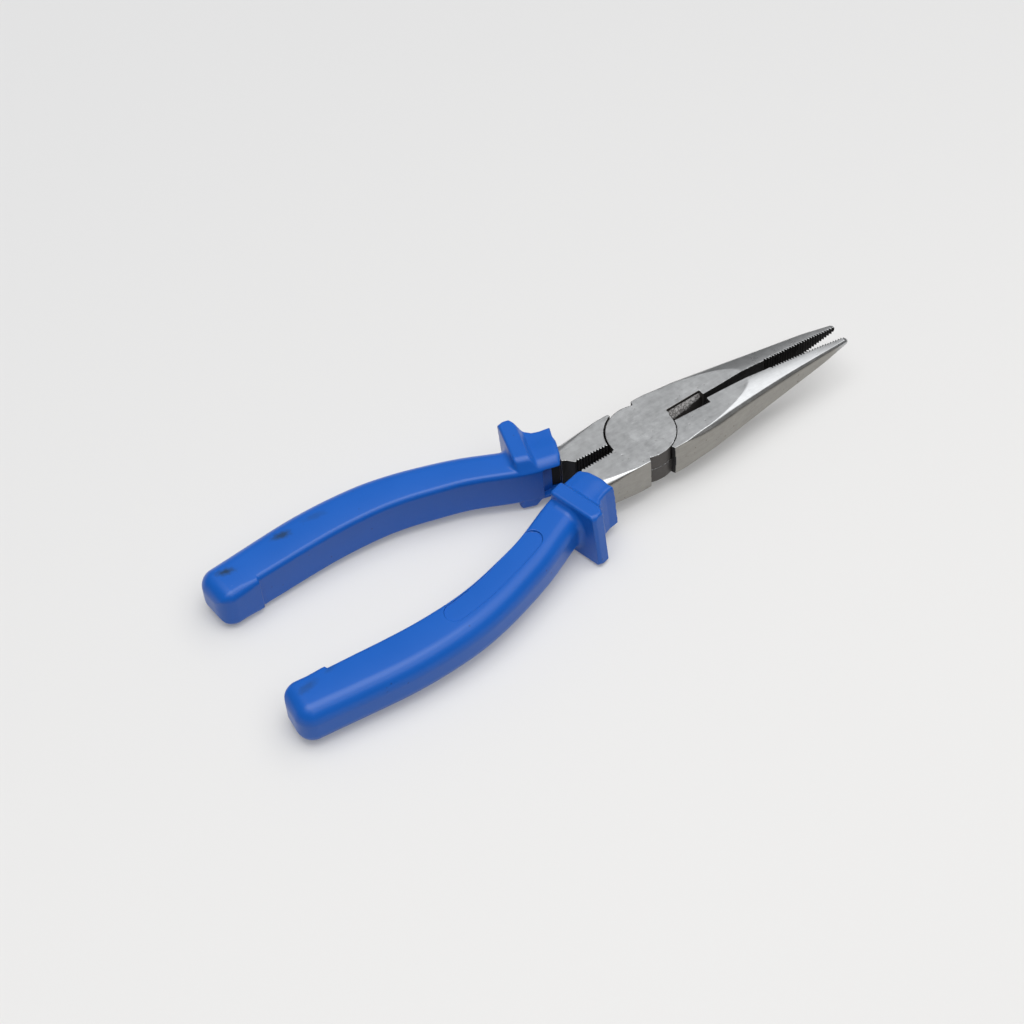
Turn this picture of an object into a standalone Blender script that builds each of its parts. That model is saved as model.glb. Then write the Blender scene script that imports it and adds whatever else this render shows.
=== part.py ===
"""Long needle nose pliers, 200 mm: two forged halves in a lap joint, one flush rivet, two slip-on grips.

Units are metres, +Z up. The pivot axis is the Z axis, the jaws point to +X, and z = 0 is the ground
underside of the head. Both halves are the same forging: the lower one is the upper one turned over
about the X axis. The grips are turned over in the same way.
The shapes are described closed, for one half, in millimetres about the mid-plane of the head, and are
then opened to the rest position. The closing plane is y = 0.
"""

import math

import bmesh
import bpy
from mathutils import Matrix

MM = 0.001

# ---------------------------------------------------------------- driving dimensions, mm and degrees
OPEN_DEG = 2.12          # each half stands open by this much at rest
SHARP_DEG = 28           # edges sharper than this are shaded sharp
HEAD_HALF = 5.45         # half the thickness of the ground head
DISC_R = 9.9             # radius of each lap disc
DISC_ROOT = 2.0          # the disc starts this far below the mid-plane, before the lap is cut
LAP_GAP = 0.06           # from the mid-plane to a lap face
SEAM_JAW = 0.20          # shoulder clearance round the other disc, jaw side
SEAM_TANG = 0.45         # the same on the tang side
SEAM_TANG_ARC = (150, 262)  # directions that count as the tang side
NOTCH_DEG = 67.0         # the jaw and the tang stop on this radial line
FACE_GAP = 0.04          # from the closing plane to the level inner face of the jaw
OVERCUT = 2              # cutting bodies reach this far past the ground faces

TIP_X = 70.3             # jaw tip
TIP_ROUND = 1.4          # length over which the jaw rounds down to the tip
TIP_HEIGHT_LEFT = 0.45   # shares of the height, width and edge radius left at the tip
TIP_WIDTH_LEFT = 0.35
TIP_EDGE_LEFT = 0.40
CROWN_X = 35.5           # where the crowned nose leaves the ground head
CROWN_SLOPE = 0.120      # fall of the crown line per mm towards the tip
CROWN_CURVE = 0.028      # z falls by this times y squared
FLAT_SHARE = (0.25, 0.85)  # least and greatest share of the jaw's top in its first, inner strip
WALL_DRAFT = 0.14        # side walls stand out by this at the parting line

TOOTH_PITCH = 0.92
JAW_TEETH = (44.8, 69.7, 0.60)      # from x, to x, depth
TANG_TEETH = (-20.6, -10.6, 0.55)
REAR_GAP = 0.65          # from the closing plane to the tang's tooth tips

CUT_X = (10.3, 22.0)     # side cutter window
CUT_LOW_X = DISC_R - 1.0  # where the window starts below the mid-plane
CUT_HALF = 1.80          # its half width at the ground faces
CUT_WALL = 0.9           # depth of its straight wall before the bevel
CUT_LAND = 0.10          # half height of the band left at the cutting edge
CUT_SETBACK = 0.02       # from the jaw's inner face to where the bevel starts
CUT_REACH = -3.0         # y of the cutting body's free side

RIVET_R = 2.5
RIVET_HEAD_R = 3.6
RIVET_FIT = 0.05         # radial clearance
BORE_OVERRUN = 1.0       # the bore's cutting body stands past the head by this

RING_TOP = 3             # strips from the flat to the ridge of a jaw section
ARC = 3                  # steps in a rounded edge
DISC_STEPS = 96
RIVET_STEPS = 48
RIDGE_PASSES = 8         # refinements of where the crown meets the rounded edge

# ---------------------------------------------------------------- jaw tables
# Outer side wall: x, distance from the closing plane
JAW_WALL = [
    (0, 10.5), (4.5, 10.5), (10, 10.4), (14.5, 10.15), (17.8, 9.9), (21, 9.4), (24, 8.85),
    (28.8, 7.95), (35.8, 6.75), (43, 5.55), (49, 4.6), (55, 3.7), (61, 2.8), (66, 1.9), (71.3, 0.95)]
# Rounding of the outer edge: x, radius
JAW_EDGE = [
    (0, 0.3), (8.5, 0.3), (11.5, 0.75), (14.5, 1.05), (17.8, 1.25), (24, 1.3),
    (30, 1.2), (38, 1.05), (48, 0.9), (56, 0.7), (64, 0.5), (71.3, 0.35)]
# Inner face: x, y. Level at first, then standing proud along the tooth tips
JAW_INNER = [
    (4, FACE_GAP), (20, FACE_GAP), (23, -0.02), (28, -0.08), (36, -0.03), (43, 0.0),
    (44.4, -0.34), (58, -0.49), (71.3, -0.60)]
# x of the sections behind the teeth; the first one is laid on the notch line
JAW_START_X = 4.0
JAW_STATIONS = [5.6, 7.2, 8.8, 10.2, 11.6, 13.2, 14.8, 16.5, 18.5,
                20.5, 22.5, 25, 28, 31, 34, 36.5, 39.5, 42.9]
# Sections from the last tooth to the tip: x, cut into the inner face
JAW_TIP_STATIONS = [(TIP_X - 0.35, 0.0), (TIP_X, 0.1)]

# ---------------------------------------------------------------- tang and shank tables
# Outer side wall of the tang: x, distance from the closing plane
TANG_WALL = [(-23, 9.4), (-20, 9.5), (-17, 9.7), (-12, 9.95), (-8, 10.2), (-4.8, 10.35), (0, 10.4)]
# Rounding of the tang's outer edge: x, radius
TANG_EDGE = [(-23, 3.0), (-20, 2.5), (-17, 1.8), (-14, 1.2), (-11, 0.7), (-8.5, 0.3), (0, 0.3)]
# x of the sections before the teeth; the first one is laid on the notch line
TANG_START_X = -4.4
TANG_STATIONS = [-5.6, -7.5, -9.2]

# The slanted section between the tang's teeth and the shank
NECK_X = -21.3
NECK_INNER = 1.75
NECK_EDGE = 2.7
NECK_SLANT = 0.1         # x shift per mm of distance from the closing plane
NECK_MIDDLE = 5.5        # the distance at which that shift is nil

# Centre line shared by shank and grip: x, distance from the closing plane
CENTRE = [
    (-130, 17.9), (-121.5, 18.9), (-114.4, 19.8), (-106, 20.8), (-96, 21.9), (-86, 22.4),
    (-76, 22.1), (-66, 20.7), (-55.7, 18.1), (-50, 16.4), (-45.5, 14.7), (-40.5, 12.5),
    (-35.5, 10.3), (-30.4, 8.4), (-26.3, 7.0), (-22.3, 5.9), (-18, 5.3)]
# Lean of each cross-section from the Y direction: x, degrees
LEAN = [
    (-130, -6), (-114, -7), (-96, -4.6), (-86, 0), (-76, 4.6), (-66, 11), (-55.7, 16.5),
    (-45.5, 20.5), (-40.5, 20), (-37.5, 15), (-35.5, 11.5), (-33, 12), (-28, 15), (-22.8, 17.5)]

# Shank: x, inner offset, outer offset, half height
SHANK = [
    (-22.8, -2.75, 3.5, 5.35), (-24.5, -2.2, 3.4, 5.15), (-27, -2.2, 3.2, 4.8),
    (-31, -2.4, 3.0, 4.4), (-40, -2.4, 2.8, 3.9), (-60, -2.3, 2.5, 3.4),
    (-85, -2.1, 2.2, 3.0), (-109, -1.7, 1.8, 2.6)]
SHANK_DRAFT = 0.05
# Limits on an edge radius: in mm, as a share of the width, as a share of the half height
SHANK_EDGE = (2.9, 0.45, 0.6)
SOCKET_EDGE = (2.4, 0.40, 0.5)

# ---------------------------------------------------------------- grip tables
# Grip sections from the mouth to the rear end: x, inner offset, outer offset, half height above and
# below, then the corner radii: inner above, inner below, outer
GRIP = [
    (-22.9, -3.45, 7.3, 7.0, 7.0, 0.7, 1.2, 0.8),
    (-23.3, -3.65, 7.7, 7.35, 7.35, 0.8, 1.4, 1.0),
    (-24.6, -3.9, 7.45, 7.3, 7.3, 0.8, 1.6, 1.2),
    (-26.4, -4.2, 7.15, 7.15, 7.15, 0.8, 2.0, 1.3),
    (-28.2, -4.7, 7.35, 7.15, 7.15, 0.8, 2.4, 1.4),
    (-29.6, -5.3, 8.2, 7.5, 7.5, 0.9, 2.8, 1.5),
    (-30.8, -5.8, 9.9, 8.2, 8.2, 1.0, 3.4, 1.6),
    (-31.7, -6.1, 12.0, 9.0, 9.0, 1.0, 4.0, 1.8),
    (-32.6, -6.5, 13.3, 9.4, 9.4, 1.1, 4.4, 2.0),
    (-34.2, -7.0, 13.5, 9.5, 9.5, 1.1, 4.6, 2.0),
    (-35.3, -7.1, 13.2, 9.4, 9.4, 1.1, 4.6, 2.0),
    (-35.8, -6.8, 12.5, 9.0, 9.0, 1.1, 4.2, 2.0),
    (-36.3, -6.2, 8.4, 7.9, 7.9, 1.2, 2.6, 2.8),
    (-37.0, -5.7, 6.7, 7.25, 7.25, 1.3, 1.8, 3.4),
    (-38.2, -5.5, 5.9, 6.9, 6.9, 1.4, 1.5, 4.0),
    (-40.5, -5.5, 5.6, 6.8, 6.8, 1.4, 1.4, 4.4),
    (-48.0, -5.6, 5.8, 6.8, 6.8, 1.4, 1.4, 4.6),
    (-57.0, -6.0, 6.0, 6.8, 6.8, 1.4, 1.4, 4.6),
    (-67.0, -6.2, 6.3, 6.8, 6.8, 1.4, 1.4, 4.6),
    (-77.0, -6.5, 6.6, 6.8, 6.8, 1.4, 1.4, 4.6),
    (-87.0, -6.7, 6.7, 6.8, 6.8, 1.4, 1.4, 4.6),
    (-97.0, -6.8, 6.8, 6.8, 6.8, 1.4, 1.4, 4.6),
    (-106.0, -6.7, 6.7, 6.8, 6.8, 1.4, 1.4, 4.6),
    (-113.7, -6.5, 6.5, 6.8, 6.8, 1.4, 1.4, 4.6),
    (-114.3, -7.4, 6.5, 6.8, 6.8, 1.6, 1.6, 4.6),
    (-119.0, -7.2, 6.4, 6.75, 6.75, 2.4, 2.4, 4.6),
    (-123.5, -6.9, 6.1, 6.6, 6.6, 3.2, 3.2, 4.6),
    (-126.2, -6.1, 5.3, 6.1, 6.1, 3.6, 3.6, 4.4),
    (-127.9, -4.6, 3.9, 5.0, 5.0, 3.2, 3.2, 3.6),
    (-128.6, -2.6, 2.2, 3.2, 3.2, 1.9, 1.9, 2.0),
]
REAR_STEP_X = GRIP[-6][0]  # the small step on the inner side, near the rear end

# How far each grip's guard sits forward of those sections, and where each grip ends
GUARD_SHIFT = {"near_grip": 2.1, "far_grip": 0.0}
GRIP_END = {"near_grip": -127.3, "far_grip": -126.2}
# The shift grows rearward from GUARD_FRONT over GUARD_GROW, and is gone again at GUARD_REAR
GUARD_FRONT = -23.5
GUARD_GROW = 7.0
GUARD_REAR = -48.0
GUARD_FADE = 8.0

SOCKET_END = -110.5
SOCKET_GAP = 0.25        # between a shank and its grip
SOCKET_OUTER_EXTRA = 0.1  # added to that gap on the outer side
SOCKET_CORNER = 0.35     # radius of the socket's inner corners


# ---------------------------------------------------------------- curves and sections
def curve(table, x, column=1):
    """Smooth curve through a table's points that never overshoots them."""
    rows = sorted(table)
    xs = [row[0] for row in rows]
    ys = [row[column] for row in rows]
    if x <= xs[0]:
        return ys[0]
    if x >= xs[-1]:
        return ys[-1]
    spans = range(len(xs) - 1)
    slopes = [(ys[i + 1] - ys[i]) / (xs[i + 1] - xs[i]) for i in spans]
    tangents = [slopes[0]]
    for before, after in zip(slopes, slopes[1:]):
        turns = before * after <= 0
        tangents.append(0.0 if turns else 2 * before * after / (before + after))
    tangents.append(slopes[-1])
    i = next(k for k in spans if x <= xs[k + 1])
    width = xs[i + 1] - xs[i]
    t = (x - xs[i]) / width
    return (ys[i] * (1 + 2 * t) * (1 - t) ** 2 + width * tangents[i] * t * (1 - t) ** 2
            + ys[i + 1] * t * t * (3 - 2 * t) - width * tangents[i + 1] * t * t * (1 - t))


def corner(centre_y, centre_z, radius, start, stop):
    """Arc of a section's corner, between two angles in degrees; 0 is outward, 90 is up."""
    angles = [math.radians(start + (stop - start) * k / ARC) for k in range(ARC + 1)]
    return [(centre_y + radius * math.cos(a), centre_z + radius * math.sin(a)) for a in angles]


def mirrored_section(upper, outer, draft):
    """Closes a section: its upper points, the parting line, then the same points underneath."""
    return upper + [(outer + draft, 0.0)] + [(y, -z) for y, z in reversed(upper)]


def bar_section(inner, outer, half, edge, draft=WALL_DRAFT):
    """Ground bar with rounded outer edges. Same number of points as a jaw section."""
    ridge = outer - edge
    strips = RING_TOP + 1
    top = [(inner + (ridge - inner) * k / strips, half) for k in range(strips)]
    return mirrored_section(top + corner(ridge, half - edge, edge, 90, 0), outer, draft)


def edge_radius(inner, outer, half, limits):
    largest, width_share, half_share = limits
    return min(largest, width_share * (outer - inner), half_share * half)


def leaning(x, points):
    """Places a section on the centre line, on the -y side; its first coordinate runs outward."""
    lean = math.radians(curve(LEAN, x))
    centre = curve(CENTRE, x)
    return [(x + offset * math.sin(lean), -(centre + offset * math.cos(lean)), z)
            for offset, z in points]


def on_notch_line(y, z):
    return (y / math.tan(math.radians(NOTCH_DEG)), y, z)


def tooth_stations(teeth):
    """(x, cut into the face) of every tooth tip and root along a toothed face."""
    first, last, depth = teeth
    count = int((last - first) / TOOTH_PITCH)
    return [(first + TOOTH_PITCH * 0.5 * k, depth * (k % 2)) for k in range(2 * count + 1)]


# ---------------------------------------------------------------- bodies
def new_object(name, bm):
    bmesh.ops.recalc_face_normals(bm, faces=bm.faces[:])
    mesh = bpy.data.meshes.new(name)
    bm.to_mesh(mesh)
    bm.free()
    obj = bpy.data.objects.new(name, mesh)
    bpy.context.scene.collection.objects.link(obj)
    return obj


def loft(name, rings, triangulate=True):
    """Closed body through rings of equal length, capped at both ends."""
    bm = bmesh.new()
    made = [[bm.verts.new((x * MM, y * MM, z * MM)) for x, y, z in ring] for ring in rings]
    for a, b in zip(made, made[1:]):
        for k in range(len(a)):
            j = (k + 1) % len(a)
            bm.faces.new((a[k], a[j], b[j], b[k]))
    bm.faces.new(list(reversed(made[0])))
    bm.faces.new(made[-1])
    if triangulate:
        bmesh.ops.triangulate(bm, faces=bm.faces[:])
    return new_object(name, bm)


def turned(name, profile, segments):
    """Closed body turned about Z from (radius, z) points that start and end on the axis."""
    bm = bmesh.new()
    angles = [2 * math.pi * k / segments for k in range(segments)]
    rows = []
    for radius, z in profile:
        r = radius * MM
        if radius == 0:
            rows.append([bm.verts.new((0, 0, z * MM))])
        else:
            rows.append([bm.verts.new((r * math.cos(a), r * math.sin(a), z * MM)) for a in angles])
    for a, b in zip(rows, rows[1:]):
        for k in range(segments):
            j = (k + 1) % segments
            if len(a) == 1:
                bm.faces.new((a[0], b[j], b[k]))
            elif len(b) == 1:
                bm.faces.new((a[k], a[j], b[0]))
            else:
                bm.faces.new((a[k], a[j], b[j], b[k]))
    return new_object(name, bm)


def apply_boolean(target, other, operation):
    """Joins or cuts with the exact solver, applies it, and removes the other body."""
    modifier = target.modifiers.new(operation.lower(), "BOOLEAN")
    modifier.operation = operation
    modifier.solver = "EXACT"
    modifier.object = other
    graph = bpy.context.evaluated_depsgraph_get()
    mesh = bpy.data.meshes.new_from_object(target.evaluated_get(graph))
    target.modifiers.clear()
    old = target.data
    target.data = mesh
    bpy.data.meshes.remove(old)
    bpy.data.objects.remove(other)


# ---------------------------------------------------------------- jaw, on the +y side
def jaw_section(x, cut=0.0):
    """(y, z) points at x: across the top, down the rounded edge and wall, back underneath."""
    inner = curve(JAW_INNER, x) + cut
    wall = curve(JAW_WALL, x)
    edge = curve(JAW_EDGE, x)
    peak = HEAD_HALF - CROWN_SLOPE * (x - CROWN_X)
    if x > TIP_X - TIP_ROUND:
        t = (x - (TIP_X - TIP_ROUND)) / TIP_ROUND
        fullness = math.sqrt(max(1 - t * t, 0.0))
        peak *= TIP_HEIGHT_LEFT + (1 - TIP_HEIGHT_LEFT) * fullness
        wall = inner + (wall - inner) * (TIP_WIDTH_LEFT + (1 - TIP_WIDTH_LEFT) * fullness)
        edge *= TIP_EDGE_LEFT + (1 - TIP_EDGE_LEFT) * fullness

    # The ridge is where the top runs tangent into the rounded edge
    ridge = wall - edge
    for _ in range(RIDGE_PASSES):
        crowned = peak - CROWN_CURVE * ridge ** 2 < HEAD_HALF
        tilt = math.atan(2 * CROWN_CURVE * ridge) if crowned else 0.0
        ridge = wall - edge * (1 - math.sin(tilt))

    def height(y):
        return min(HEAD_HALF, peak - CROWN_CURVE * y * y)

    low, high = (inner + share * (ridge - inner) for share in FLAT_SHARE)
    flat_end = math.sqrt(max(peak - HEAD_HALF, 0.0) / CROWN_CURVE)
    flat_end = min(max(flat_end, low), high)
    top_ys = [inner] + [flat_end + (ridge - flat_end) * k / RING_TOP for k in range(RING_TOP)]
    arc_z = height(ridge) - edge * math.cos(tilt)
    arc = corner(wall - edge, arc_z, edge, 90 - math.degrees(tilt), 0)
    return mirrored_section([(y, height(y)) for y in top_ys] + arc, wall, WALL_DRAFT)


def jaw_rings():
    """From the notch to the tip."""
    rings = [[on_notch_line(y, z) for y, z in jaw_section(JAW_START_X)]]
    stations = [(x, 0.0) for x in JAW_STATIONS] + tooth_stations(JAW_TEETH) + JAW_TIP_STATIONS
    for x, cut in stations:
        rings.append([(x, y, z) for y, z in jaw_section(x, cut)])
    return rings


# ---------------------------------------------------------------- tang and shank, on the -y side
def tang_section(x, cut=0.0):
    return bar_section(REAR_GAP + cut, curve(TANG_WALL, x), HEAD_HALF, curve(TANG_EDGE, x))


def tang_rings():
    """From the notch to the shank's end."""
    rings = [[on_notch_line(-y, z) for y, z in tang_section(TANG_START_X)]]
    stations = [(x, 0.0) for x in TANG_STATIONS] + tooth_stations(TANG_TEETH)[::-1]
    for x, cut in stations:
        rings.append([(x, -y, z) for y, z in tang_section(x, cut)])
    neck = bar_section(NECK_INNER, curve(TANG_WALL, NECK_X), HEAD_HALF, NECK_EDGE)
    rings.append([(NECK_X - NECK_SLANT * (NECK_MIDDLE - y), -y, z) for y, z in neck])
    for x, inner, outer, half in SHANK:
        edge = edge_radius(inner, outer, half, SHANK_EDGE)
        rings.append(leaning(x, bar_section(inner, outer, half, edge, SHANK_DRAFT)))
    return rings


# ---------------------------------------------------------------- cutting bodies and rivet
def lap_cutter():
    """Clears the other half's disc: a little wider on the tang side."""
    outline = []
    for k in range(DISC_STEPS):
        degrees = 360.0 * k / DISC_STEPS
        on_tang_side = SEAM_TANG_ARC[0] <= degrees <= SEAM_TANG_ARC[1]
        r = DISC_R + (SEAM_TANG if on_tang_side else SEAM_JAW)
        outline.append((r * math.cos(math.radians(degrees)), r * math.sin(math.radians(degrees))))
    levels = (-HEAD_HALF - OVERCUT, LAP_GAP)
    return loft("lap", [[(x, y, z) for x, y in outline] for z in levels], triangulate=False)


def window_cutter(name, start_x, sign):
    """Half of the side cutter's opening, above (+1) or below (-1) the cutting edge."""
    outline = [
        (CUT_REACH, CUT_LAND),
        (FACE_GAP + CUT_SETBACK, CUT_LAND),
        (CUT_HALF, HEAD_HALF - CUT_WALL),
        (CUT_HALF, HEAD_HALF + OVERCUT),
        (CUT_REACH, HEAD_HALF + OVERCUT),
    ]
    rings = [[(x, y, sign * z) for y, z in outline] for x in (start_x, CUT_X[1])]
    return loft(name, rings, triangulate=False)


def rivet_profile(fit=0.0, overrun=0.0):
    """(radius, z) of the double countersunk rivet, grown by a radial fit and an end overrun."""
    cone_end = HEAD_HALF - (RIVET_HEAD_R - RIVET_R)
    upper = [(RIVET_R + fit, cone_end), (RIVET_HEAD_R + fit, HEAD_HALF)]
    if overrun:
        upper.append((RIVET_HEAD_R + fit, HEAD_HALF + overrun))
    upper.append((0, HEAD_HALF + overrun))
    return [(r, -z) for r, z in reversed(upper)] + upper


def forged_half(name):
    """The upper half, closed: jaw on the +y side, disc above the mid-plane, tang on the -y side."""
    body = loft(name, jaw_rings())
    disc = [(0, -DISC_ROOT), (DISC_R, -DISC_ROOT), (DISC_R, HEAD_HALF), (0, HEAD_HALF)]
    apply_boolean(body, turned("disc", disc, DISC_STEPS), "UNION")
    apply_boolean(body, loft("tang", tang_rings()), "UNION")
    apply_boolean(body, lap_cutter(), "DIFFERENCE")
    apply_boolean(body, window_cutter("window_above", CUT_X[0], 1), "DIFFERENCE")
    apply_boolean(body, window_cutter("window_below", CUT_LOW_X, -1), "DIFFERENCE")
    bore = rivet_profile(RIVET_FIT, BORE_OVERRUN)
    apply_boolean(body, turned("bore", bore, RIVET_STEPS), "DIFFERENCE")
    return body


# ---------------------------------------------------------------- one grip, on the upper half's shank
def grip_section(inner, outer, above, below, r_above, r_below, r_out):
    """Moulded section: inner corners with a radius each, outer corners sharing one."""
    return (corner(inner + r_above, above - r_above, r_above, 180, 90)
            + corner(outer - r_out, above - r_out, r_out, 90, 0)
            + corner(outer - r_out, -below + r_out, r_out, 0, -90)
            + corner(inner + r_below, -below + r_below, r_below, -90, -180))


def grip_x(name, x):
    """Moves a grip station for this grip's own guard position and rear end."""
    if x < REAR_STEP_X:
        stretch = (GRIP_END[name] - REAR_STEP_X) / (GRIP[-1][0] - REAR_STEP_X)
        return REAR_STEP_X + (x - REAR_STEP_X) * stretch
    if x > GUARD_REAR:
        grow = min(max((GUARD_FRONT - x) / GUARD_GROW, 0.0), 1.0)
        fade = min((x - GUARD_REAR) / GUARD_FADE, 1.0)
        return x + GUARD_SHIFT[name] * grow * fade
    return x


def socket_ring(x):
    """The shank's section at x with clearance; past the shank's end, its last section."""
    shank_x = max(x, SHANK[-1][0])
    inner, outer, half = (curve(SHANK, shank_x, column) for column in (1, 2, 3))
    edge = edge_radius(inner, outer, half, SOCKET_EDGE)
    height = half + SOCKET_GAP
    return leaning(x, grip_section(inner - SOCKET_GAP, outer + SOCKET_GAP + SOCKET_OUTER_EXTRA,
                                   height, height, SOCKET_CORNER, SOCKET_CORNER, edge))


def moulded_grip(name):
    """Outer skin from the rear end to the mouth, then the socket back to its blind end."""
    skin = [leaning(grip_x(name, row[0]), grip_section(*row[1:])) for row in reversed(GRIP)]
    socket_xs = [GRIP[0][0]] + [row[0] for row in SHANK[1:]] + [SOCKET_END]
    return loft(name, skin + [socket_ring(x) for x in socket_xs])


# ---------------------------------------------------------------- assembly
def material(name, colour, metallic, roughness):
    made = bpy.data.materials.new(name)
    made.use_nodes = True
    shader = made.node_tree.nodes["Principled BSDF"]
    shader.inputs["Base Color"].default_value = (*colour, 1.0)
    shader.inputs["Metallic"].default_value = metallic
    shader.inputs["Roughness"].default_value = roughness
    return made


def finish(obj, surface, parent, turn_over=False):
    """Turns a lower half's piece over, opens it to rest, and hangs it on the raised pivot."""
    flip = Matrix.Rotation(math.pi, 4, "X") if turn_over else Matrix.Identity(4)
    opening = math.radians(-OPEN_DEG if turn_over else OPEN_DEG)
    obj.data.transform(Matrix.Rotation(opening, 4, "Z") @ flip)
    obj.data.materials.clear()
    obj.data.materials.append(surface)
    obj.data.shade_smooth()
    obj.data.set_sharp_from_angle(angle=math.radians(SHARP_DEG))
    obj.parent = parent


def main():
    for obj in list(bpy.data.objects):
        bpy.data.objects.remove(obj)

    steel = material("ground_steel", colour=(0.46, 0.47, 0.48), metallic=1.0, roughness=0.36)
    rivet_steel = material("rivet_steel", colour=(0.50, 0.51, 0.52), metallic=1.0, roughness=0.30)
    blue = material("blue_vinyl", colour=(0.020, 0.115, 0.62), metallic=0.0, roughness=0.38)

    pivot = bpy.data.objects.new("pivot_axis", None)
    pivot.location = (0, 0, HEAD_HALF * MM)
    bpy.context.scene.collection.objects.link(pivot)

    finish(forged_half("upper_half"), steel, pivot)
    finish(forged_half("lower_half"), steel, pivot, turn_over=True)
    finish(moulded_grip("near_grip"), blue, pivot)
    finish(moulded_grip("far_grip"), blue, pivot, turn_over=True)
    rivet = turned("pivot_rivet", rivet_profile(), RIVET_STEPS)
    finish(rivet, rivet_steel, pivot, turn_over=True)


main()
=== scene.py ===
"""Needle nose pliers on a pale table.

The rivet's axis is z, the jaws point to +x and the grips reach back to -x, one on each side of
the closing plane y = 0. The tool's underside is near z = 0, its mid-plane HEAD_HALF above that.

Both halves are one forging turned over, and so are the grips. Each is a signed distance field,
in mm about the mid-plane with the tool closed, meshed and then opened. Handle shapes use away = -y.
"""

import math

import bmesh
import bpy
import numpy as np
from mathutils import Matrix, Vector


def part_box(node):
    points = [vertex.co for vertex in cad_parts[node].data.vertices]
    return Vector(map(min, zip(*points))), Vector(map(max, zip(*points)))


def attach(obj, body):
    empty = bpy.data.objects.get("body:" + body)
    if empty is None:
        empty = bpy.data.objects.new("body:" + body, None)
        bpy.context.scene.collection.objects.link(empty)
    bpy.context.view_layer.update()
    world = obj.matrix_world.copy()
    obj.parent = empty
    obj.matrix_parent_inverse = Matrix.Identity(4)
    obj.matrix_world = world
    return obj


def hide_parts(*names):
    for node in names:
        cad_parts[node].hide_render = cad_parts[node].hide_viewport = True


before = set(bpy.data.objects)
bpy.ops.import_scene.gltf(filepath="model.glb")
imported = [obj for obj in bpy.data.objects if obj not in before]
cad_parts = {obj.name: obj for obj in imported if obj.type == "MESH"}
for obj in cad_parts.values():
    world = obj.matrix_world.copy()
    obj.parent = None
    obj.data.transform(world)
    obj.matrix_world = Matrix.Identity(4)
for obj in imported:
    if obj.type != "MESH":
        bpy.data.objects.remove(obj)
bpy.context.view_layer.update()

MM = 0.001

OPEN = math.radians(2.12)              # each half's turn from closed
head_low, head_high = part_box("pivot_rivet")
HEAD_HALF = (head_high.z - head_low.z) / MM / 2
DISC_R = 9.9
LAP_GAP = 0.06                         # between mid-plane and disc
SEAM_JAW, SEAM_TANG = 0.12, 0.45       # round the other half's disc
NOTCH = math.radians(67.0)             # slant of the shoulders where jaw and tang meet the disc
NOTCH_SIN, NOTCH_COS = math.sin(NOTCH), math.cos(NOTCH)
BORE_R, SINK_R, SINK_START = 2.54, 3.612, 4.35
TIP_X = 70.3
CROWN_X, CROWN_SLOPE, CROWN_CURVE = 35.5, 0.120, 0.028
PITCH = 0.92                           # of the teeth
JAW_TEETH_X, JAW_TEETH_DEPTH = 43.8, 0.80
TANG_TEETH_X, TANG_TEETH_DEPTH = (-20.7, -10.5), 0.72
WINDOW_END = 21.95                     # recess on the closing plane between disc and jaw face
WINDOW_START = {"up": 10.3, "down": 8.6}
WINDOW_NARROW, WINDOW_WIDE, WINDOW_FLOOR = 0.06, 1.8, 0.1


# ---------------------------------------------------------------- fields
class Curve:
    """A curve through a table of points: monotone between them, then softened."""

    def __init__(self, table, soften, step=0.1):
        xs, ys = np.array(sorted(table), float).T
        chord = np.diff(ys) / np.diff(xs)
        slopes = np.empty(len(xs))
        slopes[0], slopes[-1] = chord[0], chord[-1]
        same = chord[:-1] * chord[1:] > 0
        total = np.where(same, chord[:-1] + chord[1:], 1.0)
        slopes[1:-1] = np.where(same, 2 * chord[:-1] * chord[1:] / total, 0.0)
        first, last = slopes[0], slopes[-1]
        pad = 4 * soften
        x = np.arange(xs[0] - pad, xs[-1] + pad + step, step)
        i = np.clip(np.searchsorted(xs, x) - 1, 0, len(xs) - 2)
        span = xs[i + 1] - xs[i]
        t = (x - xs[i]) / span
        y = (ys[i] * (1 + 2 * t) * (1 - t) ** 2 + span * slopes[i] * t * (1 - t) ** 2
             + ys[i + 1] * t * t * (3 - 2 * t) - span * slopes[i + 1] * t * t * (1 - t))
        y = np.where(x > xs[-1], ys[-1] + last * (x - xs[-1]), y)
        y = np.where(x < xs[0], ys[0] + first * (x - xs[0]), y)
        side = int(3 * soften / step)
        kernel = np.exp(-0.5 * (np.arange(-side, side + 1) * step / soften) ** 2)
        kernel /= kernel.sum()
        before = y[0] - first * step * np.arange(side, 0, -1)
        after = y[-1] + last * step * np.arange(1, side + 1)
        self.x = x
        self.y = np.convolve(np.concatenate([before, y, after]), kernel, "valid")
        self.dy = np.gradient(self.y, x)

    def __call__(self, at):
        return np.interp(at, self.x, self.y)

    def slope(self, at):
        return np.interp(at, self.x, self.dy)


def smax(a, b, blend):
    """Intersection of two fields, blended over a length."""
    share = np.maximum(blend - np.abs(a - b), 0) / blend
    return np.maximum(a, b) + share * share * blend * 0.25


def smin(a, b, blend):
    """Union of two fields, blended over a length."""
    return -smax(-a, -b, blend)


def rounded(a, b, radius):
    """Intersection of two half spaces, its edge rounded."""
    a, b = a + radius, b + radius
    corner = np.sqrt(np.maximum(a, 0) ** 2 + np.maximum(b, 0) ** 2)
    return corner + np.minimum(np.maximum(a, b), 0) - radius


def rounded_box(offset, z, inner, outer, half, inner_radius, outer_radius):
    """Section of a bar from offset = -inner to outer, with a corner radius for each side."""
    centre, wide = (outer - inner) / 2, (outer + inner) / 2
    radius = np.where(offset > centre, outer_radius, inner_radius)
    return rounded(np.abs(offset - centre) - wide, np.abs(z) - half, radius)


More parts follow.
